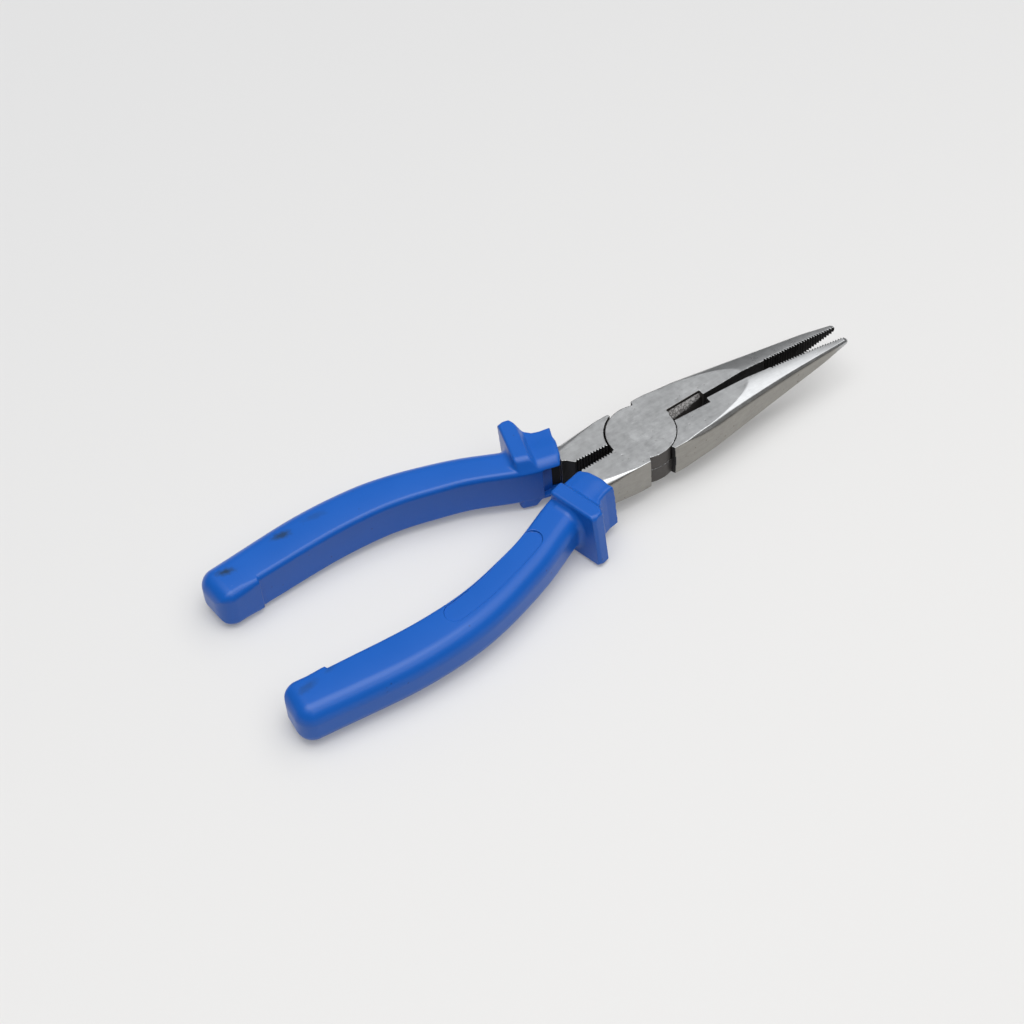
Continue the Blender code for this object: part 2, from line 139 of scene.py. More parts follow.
def polygon(x, y, corners):
    """Signed distance to a closed polygon in the plane."""
    best = np.full(np.broadcast(x, y).shape, 1e9)
    sign = np.ones_like(best)
    for (from_x, from_y), (to_x, to_y) in zip(corners, corners[1:] + corners[:1]):
        edge_x, edge_y = to_x - from_x, to_y - from_y
        off_x, off_y = x - from_x, y - from_y
        t = np.clip((off_x * edge_x + off_y * edge_y) / (edge_x * edge_x + edge_y * edge_y), 0, 1)
        best = np.minimum(best, (off_x - edge_x * t) ** 2 + (off_y - edge_y * t) ** 2)
        above, below = off_y >= 0, y < to_y
        flip = (above == below) & (below == (edge_x * off_y > edge_y * off_x))
        sign = np.where(flip, -sign, sign)
    return sign * np.sqrt(best)


def step_up(t):
    """Smooth step from 0 to 1."""
    t = np.clip(t, 0, 1)
    return t * t * (3 - 2 * t)


def edit(body, mask, change, *at):
    """Replaces body by change(body, *at) where the mask holds, in place."""
    if mask.any():
        body[mask] = change(body[mask], *(np.broadcast_to(k, mask.shape)[mask] for k in at))


# ---------------------------------------------------------------- surface from a field
CORNERS = list(np.ndindex(2, 2, 2))
EDGES = [(i, j) for i in range(8) for j in range(i + 1, 8)
         if sum(abs(a - b) for a, b in zip(CORNERS[i], CORNERS[j])) == 1]
SLAB = 48                              # grid layers worked out at a time


def slope_of(field, points, reach):
    """The field's gradient and value at points."""
    rises = [field(*(points + shift).T) - field(*(points - shift).T)
             for shift in reach * np.eye(3)]
    return np.stack(rises, 1) / (2 * reach), field(*points.T)


def direction(field, points, reach):
    """The field's unit gradient at points."""
    gradient, _ = slope_of(field, points, reach)
    return gradient / np.maximum(np.linalg.norm(gradient, axis=1), 1e-9)[:, None]


def surface(field, low, high, step):
    """Points and quads on the zero level of the field: one point per grid cell it crosses."""
    step, low = np.array(step, float), np.array(low, float)
    count = np.ceil((np.array(high, float) - low) / step).astype(int) + 1
    xs, ys, zs = (low[k] + step[k] * np.arange(count[k]) for k in range(3))
    grid = np.empty(tuple(count), np.float32)
    for k in range(0, count[0], SLAB):
        grid[k:k + SLAB] = field(xs[k:k + SLAB, None, None], ys[None, :, None], zs[None, None, :])
    inside = grid < 0
    cells_along = count - 1
    total = np.zeros(tuple(cells_along), np.uint8)
    for corner in CORNERS:
        total += inside[tuple(slice(k, k + size) for k, size in zip(corner, cells_along))]
    cells = np.nonzero((total > 0) & (total < 8))
    index = np.full(tuple(cells_along), -1, np.int32)
    index[cells] = np.arange(len(cells[0]), dtype=np.int32)

    # Each point starts at the mean of its cell's edge crossings.
    values = [grid[cells[0] + a, cells[1] + b, cells[2] + c] for a, b, c in CORNERS]
    place = np.zeros((len(cells[0]), 3))
    hits = np.zeros(len(cells[0]))
    for i, j in EDGES:
        start, end = values[i], values[j]
        cross = (start < 0) != (end < 0)
        t = np.where(cross, start / np.where(cross, start - end, 1), 0)[:, None]
        point = np.array(CORNERS[i]) + t * (np.array(CORNERS[j]) - np.array(CORNERS[i]))
        place += np.where(cross[:, None], point, 0)
        hits += cross
    points = low + step * (np.stack(cells, 1) + place / hits[:, None])

    # Each crossed grid edge joins its four cells in a quad facing out.
    quads = []
    for axis in range(3):
        i, j = [k for k in range(3) if k != axis]
        crop = [slice(None)] * 3
        crop[i], crop[j] = slice(1, cells_along[i]), slice(1, cells_along[j])
        at = np.array(np.nonzero(np.diff(inside, axis=axis)[tuple(crop)]))
        at[i] += 1
        at[j] += 1
        ring = []
        for step_i, step_j in ((-1, -1), (0, -1), (0, 0), (-1, 0)):
            cell = at.copy()
            cell[i] += step_i
            cell[j] += step_j
            ring.append(index[tuple(cell)])
        quad = np.stack(ring, 1)
        flip = inside[tuple(at)] == (axis == 1)
        quad[flip] = quad[flip][:, ::-1]
        quads.append(quad)

    # Newton steps pull the points onto the surface.
    reach = float(step.min()) * 0.5
    for _ in range(3):
        gradient, value = slope_of(field, points, 0.02)
        size = np.maximum((gradient ** 2).sum(1), 0.05)
        move = -(value / size)[:, None] * gradient
        far = np.sqrt((move ** 2).sum(1))
        move *= np.minimum(1, reach / np.maximum(far, 1e-9))[:, None]
        points = points + move
    return points, np.concatenate(quads)


def mesh_of(name, points, quads, field, soft, keep=None):
    """A mesh in metres, thinned to the share keep and shaded with the field's direction."""
    mesh = bpy.data.meshes.new(name)
    mesh.vertices.add(len(points))
    mesh.vertices.foreach_set("co", (points * MM).astype(np.float32).ravel())
    mesh.loops.add(quads.size)
    mesh.loops.foreach_set("vertex_index", quads.astype(np.int32).ravel())
    mesh.polygons.add(len(quads))
    mesh.polygons.foreach_set("loop_start", np.arange(0, quads.size, 4, dtype=np.int32))
    mesh.update(calc_edges=True)
    mesh.validate()
    if keep:
        holder = bpy.data.objects.new(name + "_thin", mesh)
        bpy.context.scene.collection.objects.link(holder)
        holder.modifiers.new("thin", "DECIMATE").ratio = keep
        graph = bpy.context.evaluated_depsgraph_get()
        lighter = bpy.data.meshes.new_from_object(holder.evaluated_get(graph))
        bpy.data.objects.remove(holder)
        bpy.data.meshes.remove(mesh)
        mesh = lighter
        mesh.name = name
    flat = np.empty(len(mesh.vertices) * 3, np.float32)
    mesh.vertices.foreach_get("co", flat)
    at = flat.reshape(-1, 3).astype(float) / MM
    normals = direction(field, at, soft)
    mesh.shade_smooth()
    mesh.normals_split_custom_set_from_vertices(normals.astype(np.float32))
    return mesh, at


def paint(mesh, **layers):
    """Stores numbers per point, for the materials to read."""
    for name, values in layers.items():
        layer = mesh.attributes.new(name, "FLOAT", "POINT")
        spread = np.broadcast_to(values, len(mesh.vertices))
        layer.data.foreach_set("value", spread.astype(np.float32))


# ---------------------------------------------------------------- the forged half
# Curves are (x, value) in mm; the shank's and the grip's go by station on CENTRE.
JAW_WALL = Curve([
    (-2, 10.5), (4.5, 10.5), (10, 10.4), (14.5, 10.15), (17.8, 9.9), (21, 9.4), (24, 8.85),
    (28.8, 7.95), (35.8, 6.75), (43, 5.55), (49, 4.6), (55, 3.7), (61, 2.8), (66, 1.9),
    (71.3, 0.95)], soften=1.8)
# How far in from the wall the ridge runs, where the crown meets a leaning facet.
JAW_EDGE = Curve([
    (0, 0.12), (7.5, 0.14), (10.5, 0.55), (14, 0.95), (18, 1.15), (24, 1.2), (30, 1.08),
    (38, 0.98), (48, 0.82), (56, 0.66), (64, 0.50), (71.3, 0.35)], soften=0.8)
# The jaw face: set back behind the teeth, and past the closing plane along them.
JAW_INNER = Curve([
    (4, 0.06), (20, 0.06), (23, -0.03), (28, -0.10), (36, -0.04), (41.5, -0.04), (46.0, -0.40),
    (58, -0.53), (71.3, -0.64)], soften=0.25)
TANG_WALL = Curve([
    (-26, 9.2), (-23, 9.4), (-20, 9.5), (-17, 9.7), (-12, 9.95), (-8, 10.2), (-4.8, 10.35),
    (0, 10.4)], soften=1.2)
TANG_EDGE = Curve([
    (-26, 3.3), (-23, 3.0), (-20, 2.6), (-17, 1.9), (-14, 1.25), (-11, 0.7), (-8.5, 0.25),
    (0, 0.25)], soften=0.6)
TANG_INNER = Curve([
    (-30, 4.6), (-24.5, 3.3), (-23, 2.75), (-21.6, 1.4), (-20.8, 0.65), (-5, 0.65)], soften=0.25)
# The handle's centre line: away against x.
CENTRE = Curve([
    (-135, 17.2), (-130, 17.9), (-121.5, 18.9), (-114.4, 19.8), (-106, 20.8), (-96, 21.9),
    (-86, 22.4), (-76, 22.1), (-66, 20.7), (-55.7, 18.1), (-50, 16.4), (-45.5, 14.7),
    (-40.5, 12.5), (-35.5, 10.3), (-30.4, 8.4), (-26.3, 7.0), (-22.3, 5.9), (-16, 5.0)],
    soften=3.0)
SHANK_IN = Curve([
    (-112, 1.7), (-85, 2.1), (-60, 2.3), (-40, 2.4), (-31, 2.4), (-24.5, 2.2), (-18, 2.2)],
    soften=1.0)
SHANK_OUT = Curve([
    (-112, 1.8), (-85, 2.2), (-60, 2.5), (-40, 2.8), (-31, 3.0), (-24.5, 3.4), (-18, 3.7)],
    soften=1.0)
SHANK_HALF = Curve([
    (-112, 2.6), (-85, 3.0), (-60, 3.4), (-40, 3.9), (-31, 4.4), (-27, 4.8), (-24.5, 5.15),
    (-20, HEAD_HALF)], soften=0.8)


def teeth(x, first, last, depth):
    """How far the tooth profile is cut back at x, fading at both ends."""
    wave = np.abs(((x - first) / PITCH) % 1.0 - 0.5) * 2
    within = step_up((x - first + 0.3) / 0.5) * step_up((last + 0.3 - x) / 0.5)
    return depth * (1 - wave) * within


def along(x, away):
    """Station on the handle's centre line and distance from it, outward positive."""
    station = x
    for _ in range(10):
        foot = x + (away - CENTRE(station)) * CENTRE.slope(station)
        station = 0.4 * station + 0.6 * foot
    return station, (away - CENTRE(station)) * np.sqrt(1 + CENTRE.slope(station) ** 2)


def notch_side(x, y):
    return x * NOTCH_SIN - y * NOTCH_COS


def jaw_field(x, y, z):
    rise = np.abs(z)
    wall, edge = JAW_WALL(x), JAW_EDGE(x)
    lean = 1 / np.sqrt(1 + JAW_WALL.slope(x) ** 2)
    peak = HEAD_HALF - CROWN_SLOPE * (x - CROWN_X) - 0.42 * step_up((x - 58) / 12.5)
    slope = np.sqrt(1 + (2 * CROWN_CURVE * y) ** 2 + CROWN_SLOPE ** 2)
    crown = (rise - (peak - CROWN_CURVE * y * y)) / slope
    side = (y - wall - 0.16 * (1 - (rise / 4.5) ** 2)) * lean
    top = smax(crown, rise - HEAD_HALF, 0.05)
    ridge = wall - edge
    ridge_top = np.minimum(HEAD_HALF, peak - CROWN_CURVE * ridge * ridge)
    facet = ((y - ridge) * lean + (rise - ridge_top)) * 0.707
    body = smax(top, smax(side, facet, 0.10 + 0.30 * edge), 0.09)
    face = JAW_INNER(x) + teeth(x, JAW_TEETH_X, TIP_X - 0.6, JAW_TEETH_DEPTH)
    body = smax(body, (face - y) * np.where(x > 43.4, 0.50, 1.0), 0.08)
    return rounded(body, (x - TIP_X) + 0.6 * np.maximum(rise - 0.3, 0), radius=0.9)


def tang_field(x, away, z):
    """The short block behind the disc."""
    rise = np.abs(z)
    side = away - TANG_WALL(x) - 0.12 * (1 - (rise / 5.4) ** 2)
    body = rounded(side, rise - HEAD_HALF, TANG_EDGE(x))
    inner = TANG_INNER(x) + teeth(x, *TANG_TEETH_X, TANG_TEETH_DEPTH) - away
    toothed = (x > -21) & (x < -10)
    inner = inner / np.sqrt(1 + TANG_INNER.slope(x) ** 2) * np.where(toothed, 0.52, 1.0)
    return smax(smax(body, inner, 0.10), -24.0 - x, 0.3)


def shank_field(x, away, z):
    """The tapering bar from the tang into the grip."""
    station, offset = along(x, away)
    inner, outer = SHANK_IN(station), SHANK_OUT(station)
    body = rounded_box(offset, z, inner, outer, SHANK_HALF(station),
                       inner_radius=0.5, outer_radius=np.minimum(2.2, 0.4 * (outer + inner)))
    return smax(body, np.maximum(-109.0 - station, station + 21.5), 0.3)


def add_jaw(body, x, y, z):
    return np.minimum(body, smax(jaw_field(x, y, z), -notch_side(x, y), 0.16))


def add_shank(body, x, away, z):
    return np.minimum(body, shank_field(x, away, z))


def add_tang(body, x, y, z):
    tang = smax(tang_field(x, -y, z), notch_side(x, y), 0.16)
    edit(tang, x < -20.0, add_shank, x, -y, z)
    return np.minimum(body, tang)


def add_disc(body, x, y, z):
    """Clears room for the other half's disc, adds this one's and bores it."""
    radius = np.sqrt(x * x + y * y)
    seam = np.where((x < -1.0) & (y < 2.0), SEAM_TANG, SEAM_JAW)
    body = smax(body, -np.maximum(radius - DISC_R - seam, z - LAP_GAP), 0.12)
    disc = smax(smax(radius - DISC_R, z - HEAD_HALF, 0.14), LAP_GAP - z, 0.10)
    body = np.minimum(body, disc)
    cone = (radius - BORE_R) * 0.7 - (np.abs(z) - SINK_START) * 0.7
    bore = np.minimum(radius - BORE_R, np.maximum(radius - SINK_R, cone))
    return smax(body, -bore, 0.015)


def cut_window(body, x, y, z):
    """The recess on the closing plane, widening towards both faces."""
    rise = np.abs(z)
    deep = HEAD_HALF - 1.0
    share = np.clip((rise - WINDOW_FLOOR) / (deep - WINDOW_FLOOR), 0, 1)
    bevel = WINDOW_NARROW + (WINDOW_WIDE - WINDOW_NARROW) * share
    start = np.where(z > 0, WINDOW_START["up"], WINDOW_START["down"])
    cut = np.maximum(np.maximum(start - x, x - WINDOW_END),
                     np.maximum((y - bevel) * 0.93, WINDOW_FLOOR - rise))
    return smax(body, -cut, 0.14)


def half_field(x, y, z):
    """The upper half, closed: jaw at +y, disc above the mid-plane, tang and shank at -y."""
    x, y, z = np.broadcast_arrays(x, y, z)
    body = np.full(x.shape, 9.0)
    edit(body, (y > -1.2) & (x > 1.5), add_jaw, x, y, z)
    edit(body, (y < 1.2) & (x < -1.0), add_tang, x, y, z)
    edit(body, np.sqrt(x * x + y * y) < DISC_R + 3, add_disc, x, y, z)
    edit(body, (x > 7.5) & (x < 23.5) & (y < 3.2) & (y > -1.2), cut_window, x, y, z)
    return body


# ---------------------------------------------------------------- the grip
GRIP_IN = Curve([
    (-130, 6.6), (-114, 6.5), (-106, 6.7), (-97, 6.8), (-87, 6.7), (-77, 6.5), (-67, 6.2),
    (-57, 6.0), (-48, 5.6), (-40.5, 5.5), (-36, 5.5), (-22, 4.6)], soften=2.0)
GRIP_OUT = Curve([
    (-130, 6.4), (-119, 6.5), (-106, 6.7), (-97, 6.8), (-87, 6.7), (-77, 6.6), (-67, 6.3),
    (-57, 6.0), (-48, 5.8), (-40.5, 5.6), (-22, 5.6)], soften=2.0)
# The guard's outline (x, away) as it sits on the far grip.
GUARD = [
    (-37.3, -3.0), (-37.0, 4.0), (-36.2, 7.5), (-33.1, 21.3), (-29.6, 20.5), (-28.6, 18.0),
    (-27.4, 16.2), (-26.0, 14.8), (-23.9, 14.0), (-20.8, 13.5), (-24.4, 3.0), (-26.3, -3.0)]
SEAT = {"far": (0.0, 0.0), "near": (2.1, -0.5)}    # shift of guard and mouth in x, away
END_X = {"far": -126.2, "near": -127.3}
GUARD_TOP, FLANGE_EXTRA = 7.15, 2.15
PANEL_FRONT, PANEL_BACK, PANEL_OFFSET, PANEL_HALF = -43.0, -79.5, -2.2, 3.1
PANEL_DEPTH = 0.52
SOCKET_GAP = 0.22


def add_guard(body, x, away, z, offset, wall):
    """A tall rear flange, then a lower lobe in front of it."""
    rise = np.abs(z)
    slanted = x - (away - 9.0) * 0.23
    tall = step_up((-29.3 - slanted) / 2.3)
    top = GUARD_TOP + FLANGE_EXTRA * tall + 0.15 * step_up((slanted + 27.0) / 4)
    guard = rounded(polygon(x, away, GUARD), rise - top, radius=0.85)
    below = step_up((1.5 - z) / 3.0)
    inner = 0.05 - offset - wall + below * 0.80 * np.maximum(rise - 5.7, 0)
    guard = rounded(guard, inner / (1 + 0.28 * below), 1.3 - 0.3 * below)
    corner_cut = (away - 20.9 - 0.25 * (x + 33)) * 0.95
    guard = np.maximum(guard, rounded(corner_cut, rise - 9.3, radius=1.5))
    return smin(body, guard, 0.15 + 2.2 * step_up((offset + wall - 0.4) / 3.0))


def cut_socket(body, x, away, z):
    """Room for the shank and the back of the tang."""
    tang = np.where(x > -25, tang_field(np.maximum(x, -23.9), away, z), 9)
    hole = np.minimum(shank_field(np.minimum(x, -21.6), away, z), tang)
    return smax(body, -(hole - SOCKET_GAP), 0.25)


def grip_field(x, y, z, which):
    """One grip as if on the upper half's shank, closed, on the -y side."""
    x, y, z = np.broadcast_arrays(x, y, z)
    away, rise = -y, np.abs(z)
    seat_x, seat_away = SEAT[which]
    guard_x = x - seat_x
    guard_away = away - seat_away + 0.12 * z                  # the guard leans a little
    layer = np.s_[:, :, :1] if x.ndim == 3 else np.s_[:]      # stations don't depend on z
    station, offset = along(x[layer], away[layer])
    wall = GRIP_IN(station)
    half = 6.8 - 0.008 * offset * offset + 0.10 * step_up((-112 - station) / 12)
    blocky = step_up((-113.6 - station) / 0.5)
    body = rounded_box(offset, z, wall + 0.85 * blocky, GRIP_OUT(station), half,
                       inner_radius=1.5 + 0.9 * step_up((-114 - station) / 6),
                       outer_radius=4.6)
    body = rounded(body, END_X[which] - station, radius=4.8)
    # The slanted front face; 12.05 is the length of its normal.
    mouth = ((guard_x + 24.6) * 11.4 - (guard_away - 2.6) * 3.9) / 12.05
    body = smax(body, mouth, 0.5)
    edit(body, (x > -44) & (x < -14), add_guard, guard_x, guard_away, z, offset, wall)
    # The inner wall stops short of the mouth and leaves the shank's side bare there.
    bare = np.maximum(np.maximum(-30.0 - guard_x, away - seat_away - 4.4), rise - 5.55)
    body = smax(body, -bare, 0.30)
    # Sunk racetrack panel on the upper face.
    middle = np.clip(station, PANEL_BACK + PANEL_HALF, PANEL_FRONT - PANEL_HALF)
    track = np.sqrt((station - middle) ** 2 + (offset - PANEL_OFFSET) ** 2) - PANEL_HALF
    body = smax(body, -np.maximum(track, half - PANEL_DEPTH - z), 0.20)
    edit(body, (x > -112) & (away < 26) & (rise < 6.6), cut_socket, x, away, z)
    return body


# ---------------------------------------------------------------- pieces
def half_mesh(name):
    """The forging's mesh, with layers that tell its kinds of surface apart and mark where shade is
    painted.
    """
    fine = 0.184
    points, quads = surface(half_field, low=(-112, -27, -5.9), high=(72, 11.5, 5.9),
                            step=(fine, fine * 1.05, fine * 1.05))
    mesh, at = mesh_of(name, points, quads, half_field, soft=0.06, keep=0.42)
    x, y, z = at.T
    face_x, face_y, face_z = direction(half_field, at, 0.05).T
    face_z, rise = np.abs(face_z), np.abs(z)
    edge_on = 1 - step_up((face_z - 0.55) / 0.3)
    # Painted shade: the jaw and tang faces on the closing plane and the notch walls are coloured
    # near black where the halves shade each other.
    inner = (x > 5) & (y < 1.0) & (face_y < -0.3)
    inner |= (x < -5) & (y > -7.5) & (x > -40) & (face_y > 0.30)
    notch = (np.abs(notch_side(x, np.abs(y))) < 0.3) & (x > 0) & (face_x < -0.5)
    notch |= (np.abs(notch_side(x, y)) < 0.3) & (x < 0) & (face_x > 0.5)
    # Painted shade: the disc's rim, edge on in the lap between the halves, is coloured dark.
    rim = (np.abs(np.hypot(x, y) - DISC_R) < 0.6) & (edge_on > 0.5) & (np.abs(y) < 10.4)
    window = (x > 8.4) & (x < 22.1) & (y < 1.9) & (edge_on > 0.0) & (y > 0.05)
    knee = 1.3 + 0.16 * (x - 10)
    bevel = (window * step_up((face_z - 0.12) / 0.12) * step_up((rise - knee + 0.2) / 0.35)
             * step_up((HEAD_HALF - 0.30 - rise) / 0.2))
    # The rim layer also takes the window below its bevel, painted dark as shade in the deep recess.
    paint(mesh,
          inner=(inner & ~window) | notch,
          rim=np.maximum(rim, window * (1 - bevel)),
          window=bevel,
          ground=step_up((rise - HEAD_HALF + 0.08) / 0.06) * step_up((face_z - 0.95) / 0.04),
          wall=edge_on * step_up((np.abs(y) - 1.5) / 1.0) * (1 - rim) * (1 - notch))
    return mesh


def grip_mesh(name, which):
    def field(x, y, z):
        return grip_field(x, y, z, which)

    fine = 0.31
    points, quads = surface(field, low=(-130.4, -30.6, -10.6), high=(-17.2, 1.6, 10.6),
                            step=(fine, fine, fine))
    mesh, at = mesh_of(name, points, quads, field, soft=0.08)
    station, offset = along(at[:, 0], -at[:, 1])
    paint(mesh, station=station, offset=offset)
    return mesh


def rivet_mesh(name, segments=128):
    """A shank between two countersunk heads, each with a thin rim just above the disc."""
    shank_r, head_r, rim_r = 2.48, 3.54, 3.72
    rim_top = HEAD_HALF + 0.012
    half = [(shank_r, HEAD_HALF - 1.1), (head_r, HEAD_HALF - 0.02), (head_r, HEAD_HALF + 0.003),
            (rim_r, HEAD_HALF + 0.004), (rim_r, rim_top), (0, rim_top)]
    profile = [(r, -z) for r, z in reversed(half)] + half
    bm = bmesh.new()
    rows = []
    for radius, z in profile:
        angles = [2 * math.pi * k / segments for k in range(segments if radius > 0 else 1)]
        rows.append([bm.verts.new((radius * MM * math.cos(angle), radius * MM * math.sin(angle),
                                   z * MM)) for angle in angles])
    for a, b in zip(rows, rows[1:]):
        for k in range(segments):
            j = (k + 1) % segments
            if len(a) == 1:
                ring = [a[0], b[j], b[k]]
            elif len(b) == 1:
                ring = [a[k], a[j], b[0]]
            else:
                ring = [a[k], a[j], b[j], b[k]]
            bm.faces.new(ring)
    bmesh.ops.recalc_face_normals(bm, faces=bm.faces[:])
    mesh = bpy.data.meshes.new(name)
    bm.to_mesh(mesh)
    bm.free()
    mesh.shade_smooth()
    mesh.set_sharp_from_angle(angle=math.radians(8))
    paint(mesh, inner=0.0, rim=0.0, window=0.0, ground=1.0, wall=0.0)
    return mesh


def placed(name, mesh, half, node):
    """Adds a piece: turned over if it belongs to the lower half, then opened to rest."""
    obj = bpy.data.objects.new(name, mesh)
    bpy.context.scene.collection.objects.link(obj)
    lower = half == "lower"
    turn = Matrix.Rotation(math.pi, 4, "X") if lower else Matrix.Identity(4)
    swing = Matrix.Rotation(-OPEN if lower else OPEN, 4, "Z")
    obj.matrix_world = Matrix.Translation((0, 0, HEAD_HALF * MM)) @ swing @ turn
    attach(obj, half + "_body")
    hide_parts(node)


upper_mesh = half_mesh("upper_half_skin")
lower_mesh = upper_mesh.copy()
near_mesh = grip_mesh("near_grip_skin", "near")
far_mesh = grip_mesh("far_grip_skin", "far")
rivet_skin = rivet_mesh("flush_rivet_skin")
placed("upper_half_forging", upper_mesh, "upper", "upper_half")
placed("lower_half_forging", lower_mesh, "lower", "lower_half")
placed("near_grip_sleeve", near_mesh, "upper", "near_grip")
placed("far_grip_sleeve", far_mesh, "lower", "far_grip")
placed("flush_rivet", rivet_skin, "lower", "pivot_rivet")


# ---------------------------------------------------------------- materials
class Nodes:
    """Short names for building the node tree of a material or world."""

    def __init__(self, owner):
        owner.use_nodes = True
        self.tree = owner.node_tree
        self.tree.nodes.clear()
        self.coordinates = self.add("TexCoord")

    def add(self, kind, inputs=None, **settings):
        node = self.tree.nodes.new("ShaderNode" + kind)
        for key, value in settings.items():
            setattr(node, key, value)
        for key, value in (inputs or {}).items():
            socket = node.inputs[key]
            if isinstance(value, bpy.types.Node):
                value = value.outputs[0]
            if isinstance(value, bpy.types.NodeSocket):
                self.tree.links.new(value, socket)
            else:
                socket.default_value = value
        return node

    def math(self, operation, a, b=0.0, c=0.0, clamp=False):
        node = self.add("Math", {0: a, 1: b, 2: c}, operation=operation, use_clamp=clamp)
        return node.outputs[0]

    def plus(self, a, b, clamp=False):
        return self.math("ADD", a, b, clamp=clamp)

    def times(self, a, b):
        return self.math("MULTIPLY", a, b)

    def larger(self, a, b):
        return self.math("MAXIMUM", a, b)

    def vary(self, base, pattern, amount):
        """Base plus a pattern about its middle, scaled."""
        return self.plus(base, self.times(self.math("SUBTRACT", pattern, 0.5), amount))

    def mix(self, factor, a, b, mode="MIX"):
        """From colour a to colour b."""
        inputs = {0: factor, 6: a, 7: b}
        return self.add("Mix", inputs, data_type="RGBA", blend_type=mode).outputs[2]

    def blend(self, factor, off, on):
        return self.add("Mix", {0: factor, 2: off, 3: on}, data_type="FLOAT").outputs[0]

    def band(self, value, start, end):
        """Smooth step from 0 at start to 1 at end."""
        inputs = {"Value": value, "From Min": start, "From Max": end}
        return self.add("MapRange", inputs, interpolation_type="SMOOTHSTEP").outputs[0]

    def place(self, scale_x=1, move=(0, 0, 0), turn=0):
        """Object coordinates scaled along x, moved and turned about z in degrees."""
        return self.add("Mapping", {
            "Vector": self.coordinates.outputs["Object"], "Scale": (scale_x, 1, 1),
            "Location": move, "Rotation": (0, 0, math.radians(turn))}).outputs[0]

    def noise(self, vector, scale, detail, rough=0.55):
        return self.add("TexNoise", {"Vector": vector, "Scale": scale, "Detail": detail,
                                     "Roughness": rough}).outputs["Fac"]

    def cells(self, vector, scale):
        return self.add("TexVoronoi", {"Vector": vector, "Scale": scale}).outputs["Distance"]

    def attribute(self, name):
        return self.add("Attribute", attribute_name=name).outputs["Fac"]

    def combine(self, red, green, blue):
        return self.add("CombineColor", {0: red, 1: green, 2: blue}).outputs[0]

    def finish(self, **inputs):
        """A principled shader to the output; underscores stand for spaces."""
        named = {key.replace("_", " "): value for key, value in inputs.items()}
        self.add("OutputMaterial", {"Surface": self.add("BsdfPrincipled", named)})


WALL_TINT = (0.63, 0.595, 0.545, 1)
PIT_BROWN = (0.10, 0.07, 0.05, 1)
# Painted shade: dark grey for the rim layer and near black for the inner layer.
RIM_PAINTED_SHADE = (0.070, 0.062, 0.057, 1)
INNER_PAINTED_SHADE = (0.012, 0.011, 0.011, 1)
WINDOW_DARK, WINDOW_LIGHT = (0.17, 0.16, 0.155, 1), (0.70, 0.69, 0.675, 1)
VINYL_DEEP, VINYL_BRIGHT = (0.005, 0.096, 0.440, 1), (0.006, 0.108, 0.485, 1)
SCUFF_BLUE, SPECK_BLUE = (0.05, 0.17, 0.56, 1), (0.012, 0.03, 0.12, 1)
DIRT = (0.006, 0.032, 0.075, 1)


def steel_material(name, shift):
    """Ground forged steel: mottled flats with fine marks, browner pitted walls, painted shade on
    the inner faces and the rim.
    """
    made = bpy.data.materials.new(name)
    net = Nodes(made)
    where = net.place(move=shift)
    long_way = net.place(scale_x=0.10, move=shift, turn=18)
    cloud = net.noise(where, scale=95, detail=4, rough=0.6)
    mottle = net.noise(where, scale=520, detail=3, rough=0.65)
    grit = net.noise(where, scale=2600, detail=2, rough=0.6)
    marks = net.noise(long_way, scale=1500, detail=2, rough=0.7)
    pit_area = net.band(net.noise(where, scale=210, detail=2), start=0.52, end=0.62)
    pit = net.times(net.band(net.cells(where, scale=700.0), start=0.24, end=0.08), pit_area)
    ground, wall = net.attribute("ground"), net.attribute("wall")
    inner, rim, window = (net.attribute(layer) for layer in ("inner", "rim", "window"))

    base_tone = 0.505
    tone = net.math("MULTIPLY_ADD", net.math("SUBTRACT", cloud, 0.5), 0.13, base_tone)
    tone = net.vary(tone, mottle, amount=0.18)
    tone = net.vary(tone, marks, amount=0.13)
    grey = net.combine(*(net.times(tone, tint) for tint in (0.985, 1.005, 1.015)))
    colour = net.mix(wall, grey, net.mix(1.0, grey, WALL_TINT, mode="MULTIPLY"))
    colour = net.mix(net.times(pit, net.blend(wall, off=0.25, on=0.75)), colour, PIT_BROWN)
    # Painted shade: the rim layer, then the inner layer, darken the colour where the halves shade
    # each other.
    colour = net.mix(net.times(rim, 0.92), colour, RIM_PAINTED_SHADE)
    colour = net.mix(net.times(inner, 0.97), colour, INNER_PAINTED_SHADE)
    bites = net.noise(where, scale=1500, detail=3, rough=0.7)
    bitten = net.mix(net.band(bites, start=0.42, end=0.58), WINDOW_DARK, WINDOW_LIGHT)
    colour = net.mix(net.times(window, 0.9), colour, bitten)

    rough = net.vary(net.blend(ground, off=0.30, on=0.36), mottle, amount=0.14)
    rough = net.vary(rough, cloud, amount=0.16)
    rough = net.plus(rough, net.times(net.larger(inner, rim), 0.22))
    rough = net.plus(rough, net.times(wall, 0.05), clamp=True)

    # Relief: marks and grit, more mottle on walls, sunk pits, coarse window and rim.
    height = net.plus(net.times(marks, 0.5), net.times(grit, 0.5))
    height = net.plus(height, net.times(mottle, net.blend(wall, off=0.5, on=1.4)))
    height = net.math("SUBTRACT", height, net.times(pit, 1.6))
    height = net.plus(height, net.times(net.larger(window, rim), net.times(mottle, 3.0)))
    net.finish(
        Base_Color=colour, Roughness=rough,
        Metallic=net.blend(net.larger(inner, window), off=1.0, on=0.15),
        Normal=net.add("Bump", {"Height": height, "Strength": 0.35, "Distance": 0.00004}),
        Specular_IOR_Level=net.blend(inner, off=0.5, on=0.15))
    return made


